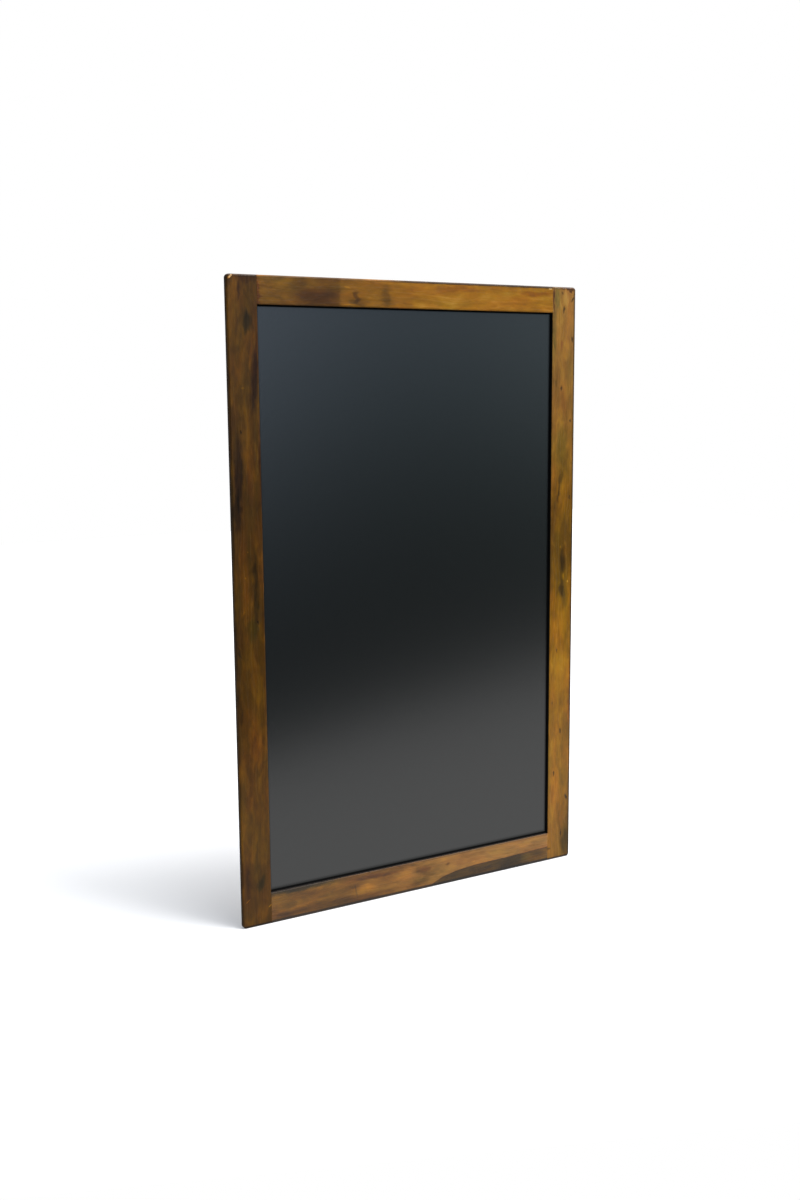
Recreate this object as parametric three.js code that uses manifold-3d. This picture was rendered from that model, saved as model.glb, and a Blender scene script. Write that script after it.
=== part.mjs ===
// A wood-framed chalkboard that hangs on a wall by two rings.
// Millimetres. Seen from the front, +X is right, +Y goes into the wall and +Z is up.
// The origin is on the wall's face, midway between the two hooks that the rings hang on.
import * as THREE from 'three';
import { mergeVertices } from 'three/addons/utils/BufferGeometryUtils.js';
import Module from 'manifold-3d';

// Frame
const BOARD_WIDTH = 570;
const BOARD_HEIGHT = 895;
const FRAME_DEPTH = 10;
const STILE_WIDTH = 43;
const TOP_RAIL_WIDTH = 38.5;
const BOTTOM_RAIL_WIDTH = 45;
const ARRIS_RADIUS = 2.5;
const CORNER_RADIUS = 5;
const OPENING_ARRIS_RADIUS = 1.2;

// Rebate behind the frame's front lip, and the panel that lies in it
const LIP_DEPTH = 4.5;
const REBATE_WIDTH = 12;
const PANEL_PLAY = 0.8;
const SURFACE_THICKNESS = 0.5;
const CORE_THICKNESS = 2.75;
const BACKING_THICKNESS = 0.25;

// Dowels through the corner joints
const DOWEL_RADIUS = 2.5;
const DOWEL_LENGTH = 30;
const DOWEL_CHAMFER = 0.8;
const DOWEL_CLEARANCE = 0.15;
const DOWEL_END_PLAY = 0.5;
const DOWEL_SPACING = 12;

// Offset clips that hold the panel
const CLIP_WIDTH = 12;
const CLIP_THICKNESS = 1.2;
const CLIP_SCREW_INSET = 8;
const CLIP_TONGUE = 9;
const CLIP_WALL_GAP = 0.4;
const CLIP_END_DISTANCE = 80;
const CLIPS_PER_STILE = 3;
const CLIPS_PER_RAIL = 2;

// Screws
const SCREW_SHANK_RADIUS = 1.4;
const SCREW_HEAD_RADIUS = 2.9;
const SCREW_HEAD_HEIGHT = 1.8;
const SCREW_TIP_LENGTH = 2.2;
const SCREW_DRIVE_WIDTH = 0.8;
const SCREW_DRIVE_LENGTH = 3.2;
const SCREW_DRIVE_DEPTH = 1;
const SCREW_CLEARANCE = 0.15;
const SCREW_END_PLAY = 0.4;
const CLIP_SCREW_LENGTH = 8;
const HANGER_SCREW_LENGTH = 9;

// Strap hangers and their rings
const STRAP_WIDTH = 10;
const STRAP_SHEET = 0.8;
const STRAP_SCREW_DROP = 6.2;
const WIRE_RADIUS = 1.1;
const BAR_CLEARANCE = 0.15;
const RING_SIDE_CLEARANCE = 2.5;
const RING_END_CLEARANCE = 1.3;
const RING_CORNER_RADIUS = 2.2;
const HANGER_DROP = 55;
const HANGER_SIDE_DISTANCE = 15;

// Bumpers
const BUMPER_HEIGHT = 4.5;
const BUMPER_RADIUS = 6;
const BUMPER_FACE_RADIUS = 4.2;
const BUMPER_EDGE_DISTANCE = 20;

// Smoothness of the round shapes
const ARRIS_STEPS = 4;
const CORNER_STEPS = 5;
const ROUND_SIDES = 16;
const WIRE_SIDES = 10;
const WIRE_CORNER_STEPS = 4;
const WIRE_CROWN_STEPS = 14;

// A cutter runs this far past the face that it cuts through
const CUT_MARGIN = 3;

// Places that follow from the sizes. In the board's own frame the front face is at y = 0,
// the lower edge at z = 0, and x = 0 is the middle.
const halfWidth = BOARD_WIDTH / 2;
const openingHalfWidth = halfWidth - STILE_WIDTH;
const openingBottom = BOTTOM_RAIL_WIDTH;
const openingTop = BOARD_HEIGHT - TOP_RAIL_WIDTH;
const rebateHalfWidth = openingHalfWidth + REBATE_WIDTH;
const rebateBottom = openingBottom - REBATE_WIDTH;
const rebateTop = openingTop + REBATE_WIDTH;
const surfaceBack = LIP_DEPTH + SURFACE_THICKNESS;
const coreBack = surfaceBack + CORE_THICKNESS;
const panelBack = coreBack + BACKING_THICKNESS;

const barrelRadius = WIRE_RADIUS + BAR_CLEARANCE + STRAP_SHEET;
const strapThickness = 2 * STRAP_SHEET;
const ringInnerHalfWidth = STRAP_WIDTH / 2 + RING_SIDE_CLEARANCE;
const ringInnerHeight = STRAP_SCREW_DROP + STRAP_WIDTH / 2 + RING_END_CLEARANCE;
const hangerX = halfWidth - HANGER_SIDE_DISTANCE;
const ringAxisZ = BOARD_HEIGHT - HANGER_DROP;
const ringAxisY = FRAME_DEPTH + barrelRadius;
const hookLineZ = ringAxisZ + ringInnerHeight;
const wallY = FRAME_DEPTH + BUMPER_HEIGHT;

// Solids: a closed geometry becomes a solid that can be joined and cut, and comes back as a geometry
const wasm = await Module();
wasm.setup();

function solid(geometry) {
  const bare = geometry.clone();
  bare.deleteAttribute('normal');
  bare.deleteAttribute('uv');
  const merged = mergeVertices(bare);
  const vertProperties = new Float32Array(merged.attributes.position.array);
  const triVerts = new Uint32Array(merged.index.array);
  return new wasm.Manifold(new wasm.Mesh({ numProp: 3, vertProperties, triVerts }));
}

function geometryOf(body) {
  const { vertProperties, triVerts } = body.getMesh();
  const geometry = new THREE.BufferGeometry();
  geometry.setAttribute('position', new THREE.BufferAttribute(new Float32Array(vertProperties), 3));
  geometry.setIndex(new THREE.BufferAttribute(new Uint32Array(triVerts), 1));
  geometry.computeVertexNormals();
  return geometry;
}

// A box given by two opposite corners, so that faces which meet have the very same coordinate
function boxBetween(a, b) {
  const geometry = new THREE.BoxGeometry(1, 1, 1);
  const position = geometry.attributes.position;
  for (let i = 0; i < position.count; i += 1) {
    const corner = [position.getX(i), position.getY(i), position.getZ(i)];
    const point = corner.map((side, axis) => (side > 0 ? Math.max(a[axis], b[axis]) : Math.min(a[axis], b[axis])));
    position.setXYZ(i, ...point);
  }
  return geometry;
}

const AXIS = {
  x: new THREE.Vector3(1, 0, 0),
  y: new THREE.Vector3(0, 1, 0),
  z: new THREE.Vector3(0, 0, 1),
};

// A cylinder along X between x0 and x1, round the line through y and z
function cylinderAlongX(radius, x0, x1, y, z) {
  const geometry = new THREE.CylinderGeometry(radius, radius, x1 - x0, ROUND_SIDES);
  geometry.applyMatrix4(new THREE.Matrix4().makeBasis(AXIS.z, AXIS.x, AXIS.y));
  return geometry.translate((x0 + x1) / 2, y, z);
}

// A cylinder along Y between y0 and y1, round the line through x and z
function cylinderAlongY(radius, y0, y1, x, z) {
  const geometry = new THREE.CylinderGeometry(radius, radius, y1 - y0, ROUND_SIDES);
  return geometry.translate(x, (y0 + y1) / 2, z);
}

// The outline of a rectangle in the XZ plane, counter-clockwise seen from the front.
// Each corner is an arc of the given number of steps, or one point where there are none.
function rectangleOutline(left, right, bottom, top, radius, steps) {
  const corners = [
    [right - radius, top - radius, 0],
    [left + radius, top - radius, 90],
    [left + radius, bottom + radius, 180],
    [right - radius, bottom + radius, 270],
  ];
  return corners.flatMap(([x, z, startDegrees]) =>
    Array.from({ length: steps + 1 }, (_, k) => {
      const angle = THREE.MathUtils.degToRad(startDegrees + (steps > 0 ? (90 * k) / steps : 45));
      const reach = steps > 0 ? radius : radius * Math.SQRT2;
      return [x + reach * Math.cos(angle), z + reach * Math.sin(angle)];
    }),
  );
}

// A closed body through sections, which are convex outlines of equally many points from front to back
function loft(sections) {
  const count = sections[0].outline.length;
  const positions = sections.flatMap(({ y, outline }) => outline.flatMap(([x, z]) => [x, y, z]));
  const index = [];
  for (let s = 0; s + 1 < sections.length; s += 1) {
    for (let i = 0; i < count; i += 1) {
      const a = s * count + i;
      const b = s * count + ((i + 1) % count);
      index.push(a, a + count, b, b, a + count, b + count);
    }
  }
  const last = (sections.length - 1) * count;
  for (let i = 1; i + 1 < count; i += 1) {
    index.push(0, i, i + 1);
    index.push(last, last + i + 1, last + i);
  }
  const geometry = new THREE.BufferGeometry();
  geometry.setAttribute('position', new THREE.Float32BufferAttribute(positions, 3));
  geometry.setIndex(index);
  return geometry;
}

// How far a quarter-round edge of this radius has drawn in, from its flat face to its side
function quarterRound(radius) {
  return Array.from({ length: ARRIS_STEPS + 1 }, (_, k) => {
    const angle = ((Math.PI / 2) * k) / ARRIS_STEPS;
    return { depth: radius * (1 - Math.cos(angle)), inset: radius * (1 - Math.sin(angle)) };
  });
}

// The whole frame's outer form, with rounded corners and rounded edges front and back
function boardBlank() {
  const section = (y, inset) => ({
    y,
    outline: rectangleOutline(
      -halfWidth + inset,
      halfWidth - inset,
      inset,
      BOARD_HEIGHT - inset,
      CORNER_RADIUS - inset,
      CORNER_STEPS,
    ),
  });
  const edge = quarterRound(ARRIS_RADIUS);
  const front = edge.map(({ depth, inset }) => section(depth, inset));
  const back = edge.map(({ depth, inset }) => section(FRAME_DEPTH - depth, inset)).reverse();
  return solid(loft([...front, ...back]));
}

// What is cut away for the opening: it widens at the front, where the lip's edge is rounded
function openingCutter() {
  const section = (y, growth) => ({
    y,
    outline: rectangleOutline(
      -openingHalfWidth - growth,
      openingHalfWidth + growth,
      openingBottom - growth,
      openingTop + growth,
      0,
      0,
    ),
  });
  const edge = quarterRound(OPENING_ARRIS_RADIUS).map(({ depth, inset }) => section(depth, inset));
  const mouth = section(-CUT_MARGIN, OPENING_ARRIS_RADIUS);
  const end = section(LIP_DEPTH + CUT_MARGIN, 0);
  return solid(loft([mouth, ...edge, end]));
}

function rebateCutter() {
  return solid(
    boxBetween(
      [-rebateHalfWidth, LIP_DEPTH, rebateBottom],
      [rebateHalfWidth, FRAME_DEPTH + CUT_MARGIN, rebateTop],
    ),
  );
}

// Dowels: two at each corner, on the joint between a rail's end and its stile,
// either side of the middle of the wood between the rebate and the outer edge
const upperBandMiddle = (rebateTop + BOARD_HEIGHT) / 2;
const lowerBandMiddle = rebateBottom / 2;
const railDowelHeights = {
  upper: [upperBandMiddle - DOWEL_SPACING / 2, upperBandMiddle + DOWEL_SPACING / 2],
  lower: [lowerBandMiddle - DOWEL_SPACING / 2, lowerBandMiddle + DOWEL_SPACING / 2],
};
const dowelPlaces = ['upper', 'lower'].flatMap((level) =>
  ['left', 'right'].flatMap((side) =>
    railDowelHeights[level].map((z, k) => ({
      name: `dowel_${level}_${side}_${k + 1}`,
      x: side === 'left' ? -openingHalfWidth : openingHalfWidth,
      y: FRAME_DEPTH / 2,
      z,
    })),
  ),
);

function dowelHoles() {
  const reach = DOWEL_LENGTH / 2 + DOWEL_END_PLAY;
  return dowelPlaces.map(({ x, y, z }) =>
    solid(cylinderAlongX(DOWEL_RADIUS + DOWEL_CLEARANCE, x - reach, x + reach, y, z)),
  );
}

function dowelGeometry() {
  const half = DOWEL_LENGTH / 2;
  const profile = [
    new THREE.Vector2(0, -half),
    new THREE.Vector2(DOWEL_RADIUS - DOWEL_CHAMFER, -half),
    new THREE.Vector2(DOWEL_RADIUS, -half + DOWEL_CHAMFER),
    new THREE.Vector2(DOWEL_RADIUS, half - DOWEL_CHAMFER),
    new THREE.Vector2(DOWEL_RADIUS - DOWEL_CHAMFER, half),
    new THREE.Vector2(0, half),
  ];
  const geometry = new THREE.LatheGeometry(profile, ROUND_SIDES);
  return geometry.applyMatrix4(new THREE.Matrix4().makeBasis(AXIS.z, AXIS.x, AXIS.y));
}

// Clips stand on the wall of the rebate; outward is the way from the panel to the frame's edge
function evenly(count, low, high) {
  return Array.from({ length: count }, (_, k) => (count > 1 ? low + ((high - low) * k) / (count - 1) : (low + high) / 2));
}

const stileClipHeights = evenly(CLIPS_PER_STILE, openingBottom + CLIP_END_DISTANCE, openingTop - CLIP_END_DISTANCE);
const railClipPlaces = evenly(CLIPS_PER_RAIL, -openingHalfWidth + CLIP_END_DISTANCE, openingHalfWidth - CLIP_END_DISTANCE);
const clipPlaces = [
  ...stileClipHeights.map((z, k) => ({ name: `left_${k + 1}`, outward: [-1, 0], x: -rebateHalfWidth, z })),
  ...stileClipHeights.map((z, k) => ({ name: `right_${k + 1}`, outward: [1, 0], x: rebateHalfWidth, z })),
  ...railClipPlaces.map((x, k) => ({ name: `upper_${k + 1}`, outward: [0, 1], x, z: rebateTop })),
  ...railClipPlaces.map((x, k) => ({ name: `lower_${k + 1}`, outward: [0, -1], x, z: rebateBottom })),
];

function clipScrewPlace({ outward, x, z }) {
  return [x + outward[0] * CLIP_SCREW_INSET, z + outward[1] * CLIP_SCREW_INSET];
}

// The clip's own origin is on the frame's back face, over the wall of the rebate
function clipGeometry(outward) {
  const across = [outward[1], outward[0]];
  const slab = (out0, out1, y0, y1) =>
    solid(
      boxBetween(
        [outward[0] * out0 - (across[0] * CLIP_WIDTH) / 2, y0, outward[1] * out0 - (across[1] * CLIP_WIDTH) / 2],
        [outward[0] * out1 + (across[0] * CLIP_WIDTH) / 2, y1, outward[1] * out1 + (across[1] * CLIP_WIDTH) / 2],
      ),
    );
  const panelY = panelBack - FRAME_DEPTH;
  const footLength = CLIP_SCREW_INSET + CLIP_WIDTH / 2;
  const foot = slab(-CLIP_WALL_GAP - CLIP_THICKNESS, footLength, 0, CLIP_THICKNESS);
  const riser = slab(-CLIP_WALL_GAP - CLIP_THICKNESS, -CLIP_WALL_GAP, panelY, CLIP_THICKNESS);
  const tongue = slab(-CLIP_TONGUE, -CLIP_WALL_GAP, panelY, panelY + CLIP_THICKNESS);
  const hole = solid(
    cylinderAlongY(
      SCREW_SHANK_RADIUS + SCREW_CLEARANCE,
      -CUT_MARGIN,
      CLIP_THICKNESS + CUT_MARGIN,
      outward[0] * CLIP_SCREW_INSET,
      outward[1] * CLIP_SCREW_INSET,
    ),
  );
  return geometryOf(foot.add(riser).add(tongue).subtract(hole));
}

// A pan-head screw along Y: its head stands on y = 0 and its point goes into the wood
function screwGeometry(length) {
  const profile = [
    new THREE.Vector2(0, -length),
    new THREE.Vector2(SCREW_SHANK_RADIUS, SCREW_TIP_LENGTH - length),
    new THREE.Vector2(SCREW_SHANK_RADIUS, 0),
    new THREE.Vector2(SCREW_HEAD_RADIUS, 0),
    new THREE.Vector2(SCREW_HEAD_RADIUS, SCREW_HEAD_HEIGHT / 2),
    new THREE.Vector2(SCREW_HEAD_RADIUS * 0.86, SCREW_HEAD_HEIGHT * 0.84),
    new THREE.Vector2(SCREW_HEAD_RADIUS * 0.6, SCREW_HEAD_HEIGHT),
    new THREE.Vector2(0, SCREW_HEAD_HEIGHT),
  ];
  const halfLong = SCREW_DRIVE_LENGTH / 2;
  const halfWide = SCREW_DRIVE_WIDTH / 2;
  const floor = SCREW_HEAD_HEIGHT - SCREW_DRIVE_DEPTH;
  const roof = SCREW_HEAD_HEIGHT + CUT_MARGIN;
  const body = solid(new THREE.LatheGeometry(profile, ROUND_SIDES));
  const slotX = solid(boxBetween([-halfLong, floor, -halfWide], [halfLong, roof, halfWide]));
  const slotZ = solid(boxBetween([-halfWide, floor, -halfLong], [halfWide, roof, halfLong]));
  return geometryOf(body.subtract(slotX).subtract(slotZ));
}

function screwHole(x, z, length, seat) {
  const depth = length - seat + SCREW_END_PLAY;
  return solid(
    cylinderAlongY(SCREW_SHANK_RADIUS + SCREW_CLEARANCE, FRAME_DEPTH - depth, FRAME_DEPTH + CUT_MARGIN, x, z),
  );
}

// Strap hangers: a doubled sheet with a barrel for the ring's bar.
// The strap's own origin is on the ring's axis; the wood is at y = -barrelRadius.
const strapBack = -barrelRadius;
const strapFace = strapBack + strapThickness;

function strapGeometry() {
  const half = STRAP_WIDTH / 2;
  const plate = solid(boxBetween([-half, strapBack, -STRAP_SCREW_DROP], [half, strapFace, 0]));
  const roundEnd = solid(cylinderAlongY(half, strapBack, strapFace, 0, -STRAP_SCREW_DROP));
  const barrel = solid(cylinderAlongX(barrelRadius, -half, half, 0, 0));
  const bore = solid(
    cylinderAlongX(WIRE_RADIUS + BAR_CLEARANCE, -half - CUT_MARGIN, half + CUT_MARGIN, 0, 0),
  );
  const hole = solid(
    cylinderAlongY(
      SCREW_SHANK_RADIUS + SCREW_CLEARANCE,
      strapBack - CUT_MARGIN,
      strapFace + CUT_MARGIN,
      0,
      -STRAP_SCREW_DROP,
    ),
  );
  return geometryOf(plate.add(roundEnd).add(barrel).subtract(bore).subtract(hole));
}

// The ring's own origin is the middle of its bar; it hangs down from there in the XZ plane
function ringPath() {
  const side = ringInnerHalfWidth + WIRE_RADIUS;
  const crownZ = -(ringInnerHeight + WIRE_RADIUS - side);
  const corner = RING_CORNER_RADIUS;
  const arc = (x, z, radius, from, to, steps) =>
    Array.from({ length: steps + 1 }, (_, k) => {
      const angle = THREE.MathUtils.degToRad(from + ((to - from) * k) / steps);
      return [x + radius * Math.cos(angle), z + radius * Math.sin(angle)];
    });
  return [
    ...arc(side - corner, -corner, corner, 90, 0, WIRE_CORNER_STEPS),
    ...arc(0, crownZ, side, 0, -180, WIRE_CROWN_STEPS),
    ...arc(-side + corner, -corner, corner, 180, 90, WIRE_CORNER_STEPS),
  ];
}

function ringGeometry() {
  const path = ringPath();
  const count = path.length;
  const positions = [];
  const index = [];
  path.forEach(([x, z], i) => {
    const [beforeX, beforeZ] = path[(i + count - 1) % count];
    const [afterX, afterZ] = path[(i + 1) % count];
    const before = new THREE.Vector2(x - beforeX, z - beforeZ).normalize();
    const after = new THREE.Vector2(afterX - x, afterZ - z).normalize();
    const along = before.add(after).normalize();
    for (let k = 0; k < WIRE_SIDES; k += 1) {
      const angle = (2 * Math.PI * k) / WIRE_SIDES;
      const out = WIRE_RADIUS * Math.cos(angle);
      positions.push(x - along.y * out, WIRE_RADIUS * Math.sin(angle), z + along.x * out);
      const a = i * WIRE_SIDES + k;
      const b = i * WIRE_SIDES + ((k + 1) % WIRE_SIDES);
      const next = ((i + 1) % count) * WIRE_SIDES - i * WIRE_SIDES;
      index.push(a, a + next, b, b, a + next, b + next);
    }
  });
  const geometry = new THREE.BufferGeometry();
  geometry.setAttribute('position', new THREE.Float32BufferAttribute(positions, 3));
  geometry.setIndex(index);
  return geometry;
}

// The bumper stands on y = 0 and its flat face touches the wall
function bumperGeometry() {
  const shoulder = BUMPER_RADIUS - BUMPER_FACE_RADIUS;
  const profile = [
    new THREE.Vector2(0, 0),
    new THREE.Vector2(BUMPER_RADIUS, 0),
    new THREE.Vector2(BUMPER_RADIUS, BUMPER_HEIGHT - shoulder),
    new THREE.Vector2(BUMPER_FACE_RADIUS + shoulder * Math.SQRT1_2, BUMPER_HEIGHT - shoulder * (1 - Math.SQRT1_2)),
    new THREE.Vector2(BUMPER_FACE_RADIUS, BUMPER_HEIGHT),
    new THREE.Vector2(0, BUMPER_HEIGHT),
  ];
  return new THREE.LatheGeometry(profile, ROUND_SIDES);
}

// Materials
const stainedWood = { color: 0x6f4a22, roughness: 0.55, metalness: 0 };
const goldenWood = { color: 0x9a6a2a, roughness: 0.55, metalness: 0 };
const beech = { color: 0xc9a777, roughness: 0.7, metalness: 0 };
const blackLaminate = { color: 0x1b1d1f, roughness: 0.4, metalness: 0 };
const fibreboard = { color: 0x7d5b3c, roughness: 0.85, metalness: 0 };
const kraftPaper = { color: 0x8a6f4f, roughness: 0.9, metalness: 0 };
const zincPlate = { color: 0xb9bcc0, roughness: 0.35, metalness: 1 };
const rubber = { color: 0x1c1c1d, roughness: 0.8, metalness: 0 };

const board = new THREE.Group();

function place(name, geometry, look, position = [0, 0, 0], parent = board) {
  const mesh = new THREE.Mesh(geometry, new THREE.MeshStandardMaterial(look));
  mesh.name = name;
  mesh.position.set(...position);
  parent.add(mesh);
}

// Frame members, all cut from the one blank so that their rounded edges run on across the joints
const hangerScrewZ = ringAxisZ - STRAP_SCREW_DROP;
const holes = [
  ...dowelHoles(),
  ...clipPlaces.map((clip) => screwHole(...clipScrewPlace(clip), CLIP_SCREW_LENGTH, CLIP_THICKNESS)),
  ...[-hangerX, hangerX].map((x) => screwHole(x, hangerScrewZ, HANGER_SCREW_LENGTH, strapThickness)),
];
const cutFrame = holes.reduce(
  (frame, hole) => frame.subtract(hole),
  boardBlank().subtract(openingCutter()).subtract(rebateCutter()),
);

function member(low, high) {
  const from = [low[0], -CUT_MARGIN, low[1]];
  const to = [high[0], FRAME_DEPTH + CUT_MARGIN, high[1]];
  return geometryOf(cutFrame.intersect(solid(boxBetween(from, to))));
}

const outerX = halfWidth + CUT_MARGIN;
const outerBottom = -CUT_MARGIN;
const outerTop = BOARD_HEIGHT + CUT_MARGIN;
place('left_stile', member([-outerX, outerBottom], [-openingHalfWidth, outerTop]), stainedWood);
place('right_stile', member([openingHalfWidth, outerBottom], [outerX, outerTop]), goldenWood);
place('top_rail', member([-openingHalfWidth, openingTop - CUT_MARGIN], [openingHalfWidth, outerTop]), goldenWood);
place('bottom_rail', member([-openingHalfWidth, outerBottom], [openingHalfWidth, openingBottom + CUT_MARGIN]), goldenWood);

dowelPlaces.forEach(({ name, x, y, z }) => place(name, dowelGeometry(), beech, [x, y, z]));

// Panel layers, front to back
function panelLayer(front, back) {
  const x = rebateHalfWidth - PANEL_PLAY;
  return boxBetween([-x, front, rebateBottom + PANEL_PLAY], [x, back, rebateTop - PANEL_PLAY]);
}

place('chalk_surface', panelLayer(LIP_DEPTH, surfaceBack), blackLaminate);
place('panel_core', panelLayer(surfaceBack, coreBack), fibreboard);
place('panel_backing', panelLayer(coreBack, panelBack), kraftPaper);

clipPlaces.forEach((clip) => {
  const [screwX, screwZ] = clipScrewPlace(clip);
  place(`clip_${clip.name}`, clipGeometry(clip.outward), zincPlate, [clip.x, FRAME_DEPTH, clip.z]);
  const seat = [screwX, FRAME_DEPTH + CLIP_THICKNESS, screwZ];
  place(`clip_screw_${clip.name}`, screwGeometry(CLIP_SCREW_LENGTH), zincPlate, seat);
});

[['left', -hangerX], ['right', hangerX]].forEach(([side, x]) => {
  place(`hanger_strap_${side}`, strapGeometry(), zincPlate, [x, ringAxisY, ringAxisZ]);
  place(`hanging_ring_${side}`, ringGeometry(), zincPlate, [x, ringAxisY, ringAxisZ]);
  const seat = [x, FRAME_DEPTH + strapThickness, hangerScrewZ];
  place(`hanger_screw_${side}`, screwGeometry(HANGER_SCREW_LENGTH), zincPlate, seat);
});

const bumperX = halfWidth - BUMPER_EDGE_DISTANCE;
const bumperHeights = [['upper', BOARD_HEIGHT - BUMPER_EDGE_DISTANCE], ['lower', BUMPER_EDGE_DISTANCE]];
bumperHeights.forEach(([level, z]) => {
  place(`bumper_${level}_left`, bumperGeometry(), rubber, [-bumperX, FRAME_DEPTH, z]);
  place(`bumper_${level}_right`, bumperGeometry(), rubber, [bumperX, FRAME_DEPTH, z]);
});

board.position.set(0, -wallY, -hookLineZ);
const chalkboard = new THREE.Group();
chalkboard.add(board);

export default chalkboard;
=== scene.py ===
# A wood-framed chalkboard: its woodwork, writing face and fittings, with a floor, lights and camera.
# Metres, in the part's own frame: +X to the right, +Y into the wall, +Z up.
import math

import bmesh
import bpy
import numpy as np
from mathutils import Matrix, Vector, noise


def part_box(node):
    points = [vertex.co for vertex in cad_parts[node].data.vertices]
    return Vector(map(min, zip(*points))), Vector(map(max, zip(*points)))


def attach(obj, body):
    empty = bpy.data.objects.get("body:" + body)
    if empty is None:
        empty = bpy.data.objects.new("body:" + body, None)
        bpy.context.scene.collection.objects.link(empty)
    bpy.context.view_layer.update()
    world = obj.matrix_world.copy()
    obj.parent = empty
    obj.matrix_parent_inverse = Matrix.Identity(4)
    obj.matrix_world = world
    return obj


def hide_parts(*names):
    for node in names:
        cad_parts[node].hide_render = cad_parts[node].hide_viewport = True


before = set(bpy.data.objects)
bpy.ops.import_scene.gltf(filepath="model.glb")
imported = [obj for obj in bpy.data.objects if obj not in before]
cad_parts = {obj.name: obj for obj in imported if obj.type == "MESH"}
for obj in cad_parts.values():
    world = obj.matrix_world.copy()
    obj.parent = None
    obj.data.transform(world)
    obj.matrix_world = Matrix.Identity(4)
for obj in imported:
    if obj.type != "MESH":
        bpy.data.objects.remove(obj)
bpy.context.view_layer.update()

MM = 0.001

# Places that the frame gives
STILE_LOW, STILE_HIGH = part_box("left_stile")
LEFT, FRONT, BOTTOM = STILE_LOW
JOINT_LEFT, BACK, TOP = STILE_HIGH
JOINT_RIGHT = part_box("right_stile")[0].x
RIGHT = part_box("right_stile")[1].x
OPENING_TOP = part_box("top_rail")[0].z
OPENING_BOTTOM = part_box("bottom_rail")[1].z
PANEL_LOW, PANEL_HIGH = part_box("chalk_surface")
PANEL_FACE = PANEL_LOW.y
DEPTH = BACK - FRONT
LIP = PANEL_FACE - FRONT

# Sizes of the woodwork that the frame doesn't state by itself
PANEL_PLAY = 0.8 * MM
ARRIS = 2.5 * MM
CORNER = 5 * MM
OPENING_ARRIS = 1.2 * MM
JOINT_ARRIS = 0.35 * MM
REBATE = JOINT_LEFT - (PANEL_LOW.x - PANEL_PLAY)

# Angles between faces, in degrees, from which an edge is shaded sharp
SHARP = 35
FITTING_SHARP = 40


def linear(red, green, blue):
    """A colour written as 0 to 255 on a screen, in the linear values that shaders take."""
    parts = [value / 255 for value in (red, green, blue)]
    return (*[p / 12.92 if p <= 0.04045 else ((p + 0.055) / 1.055) ** 2.4 for p in parts], 1.0)


def grey(value):
    return (value, value, value, 1)


# Camera: the photograph's viewpoint, found from the board's four corners in it
CAMERA_PLACE = Vector((-0.9862, -1.6415, -0.1107))
CAMERA_TURN = -30.504
CAMERA_TILT = -8.943
CAMERA_ROLL = -0.450
FOCAL_PIXELS = 1323.9
PHOTO_HEIGHT = 1200
SENSOR = 36.0


def add_camera():
    data = bpy.data.cameras.new("camera")
    data.sensor_width = SENSOR
    data.lens = FOCAL_PIXELS * SENSOR / PHOTO_HEIGHT
    data.clip_start = 0.01
    camera = add_object("camera", data)
    turn = Matrix.Rotation(math.radians(CAMERA_TURN), 4, "Z")
    tilt = Matrix.Rotation(math.radians(90 + CAMERA_TILT), 4, "X")
    roll = Matrix.Rotation(math.radians(CAMERA_ROLL), 4, "Z")
    camera.matrix_world = Matrix.Translation(CAMERA_PLACE) @ turn @ tilt @ roll
    bpy.context.scene.camera = camera


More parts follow.
